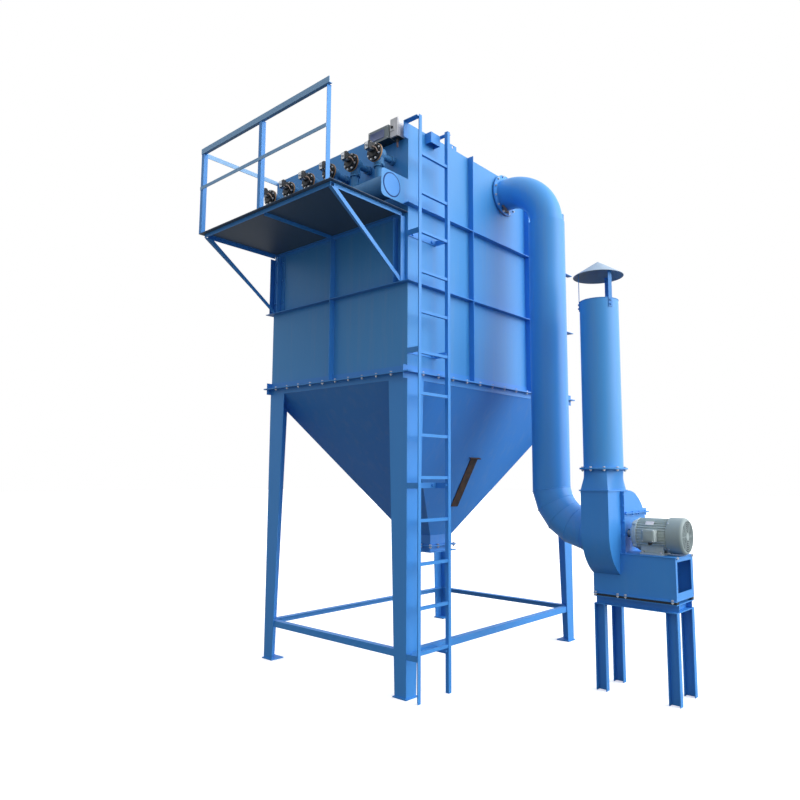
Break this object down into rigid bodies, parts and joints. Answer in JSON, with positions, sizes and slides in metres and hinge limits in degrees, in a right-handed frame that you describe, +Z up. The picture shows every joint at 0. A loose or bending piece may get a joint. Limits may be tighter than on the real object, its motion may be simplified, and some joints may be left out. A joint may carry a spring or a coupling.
{
  "type": "baghouse dust collector",
  "caption": "Pulse-jet baghouse dust collector on legs: filter housing and hopper, service platform with header and valves, ladder, clean-air duct, fan with motor and exhaust stack.",
  "frame": {"origin": "heel of the front right leg on the floor, under its foot plate", "axes": "+Z up; the service platform is on the -Y side; the ladder, duct and fan are on the +X side"},
  "size_m": [3.143, 3.3043, 4.24],
  "materials": {
    "bare_steel": "rusted flat bar",
    "blue_paint": "gloss alkyd over shot-blasted steel",
    "box_grey": "powder coat",
    "box_white": "moulded",
    "cap_paint": "weathered paint on sheet",
    "cowl_green": "enamel on pressed steel",
    "deck_plate": "paint on chequer plate",
    "duct_paint": "gloss paint on rolled sheet",
    "motor_green": "enamel on cast iron",
    "pilot_grey": "moulded",
    "pipe_zinc": "paint on steel tube",
    "strip_rubber": "cut rubber strip",
    "valve_black": "black enamel on die-cast covers"
  },
  "bodies": {
    "root": {"back_wall": "blue_paint", "cap_straps": "blue_paint", "controller_box": "box_grey", "duct_collar": "blue_paint", "duct_riser": "duct_paint", "end_stiffeners": "blue_paint", "exhaust_stack": "duct_paint", "fan_base_frame": "blue_paint", "fan_legs": "blue_paint", "fan_volute": "blue_paint", "front_wall": "blue_paint", "header_tank": "blue_paint", "hopper_back": "blue_paint", "hopper_bar": "bare_steel", "hopper_flange": "blue_paint", "hopper_front": "blue_paint", "hopper_left": "blue_paint", "hopper_right": "blue_paint", "housing_flange": "blue_paint", "inlet_spigot": "blue_paint", "isolating_strips": "strip_rubber", "ladder_head_ties": "blue_paint", "ladder_rungs": "blue_paint", "ladder_straps": "blue_paint", "ladder_stringers": "blue_paint", "left_wall": "blue_paint", "leg_back_left": "blue_paint", "leg_back_right": "blue_paint", "leg_braces": "blue_paint", "leg_front_left": "blue_paint", "leg_front_right": "blue_paint", "lifting_lugs": "blue_paint", "lower_elbow": "duct_paint", "mid_rail": "blue_paint", "motor_body": "motor_green", "motor_cowl": "cowl_green", "motor_pedestal": "blue_paint", "outlet_collar": "blue_paint", "outlet_transition": "blue_paint", "pilot_solenoids": "pilot_grey", "platform_deck": "deck_plate", "platform_frame": "blue_paint", "platform_struts": "blue_paint", "rail_posts": "blue_paint", "rain_cap": "cap_paint", "right_wall": "blue_paint", "roof_plate": "blue_paint", "side_hood": "blue_paint", "side_rail": "blue_paint", "side_stiffeners": "blue_paint", "switch_box": "box_white", "tank_ends": "blue_paint", "top_rail": "blue_paint", "upper_elbow": "duct_paint", "valve_bodies": "blue_paint", "valve_covers": "valve_black", "valve_pipes": "pipe_zinc", "volute_flanges": "blue_paint", "volute_saddle": "blue_paint", "wall_angles": "blue_paint"}
  },
  "joints": []
}
